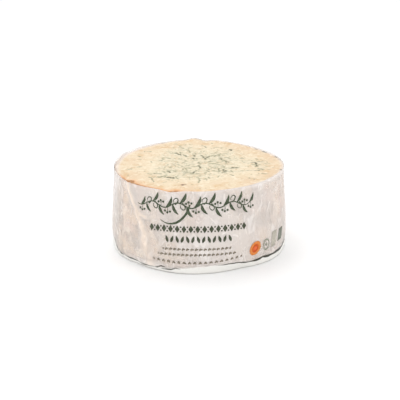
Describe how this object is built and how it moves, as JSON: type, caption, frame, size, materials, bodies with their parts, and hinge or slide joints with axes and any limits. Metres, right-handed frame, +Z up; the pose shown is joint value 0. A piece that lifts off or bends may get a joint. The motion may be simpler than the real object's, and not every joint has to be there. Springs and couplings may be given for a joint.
{
  "type": "half truckle of blue-veined cheese",
  "caption": "Half truckle of blue-veined cheese, cut level across, standing on its rind end in a clear printed film sleeve folded in under its base.",
  "frame": {"origin": "on the table under the middle of the part's box", "axes": "+Z up through the cut face, -Y towards the printed front, +X to the right of someone facing the print"},
  "size_m": [0.2178, 0.2172, 0.1051],
  "materials": {
    "cheese": "moist crumbly cream paste with blue-green veins, dry mottled pink-beige rind; matte plastic stands in for food",
    "film": "thin translucent food film, softly glossy and lightly wrinkled, printed in dark green with plain shapes"
  },
  "bodies": {
    "root": {"cheese": "cheese", "wrap": "film"}
  },
  "joints": []
}
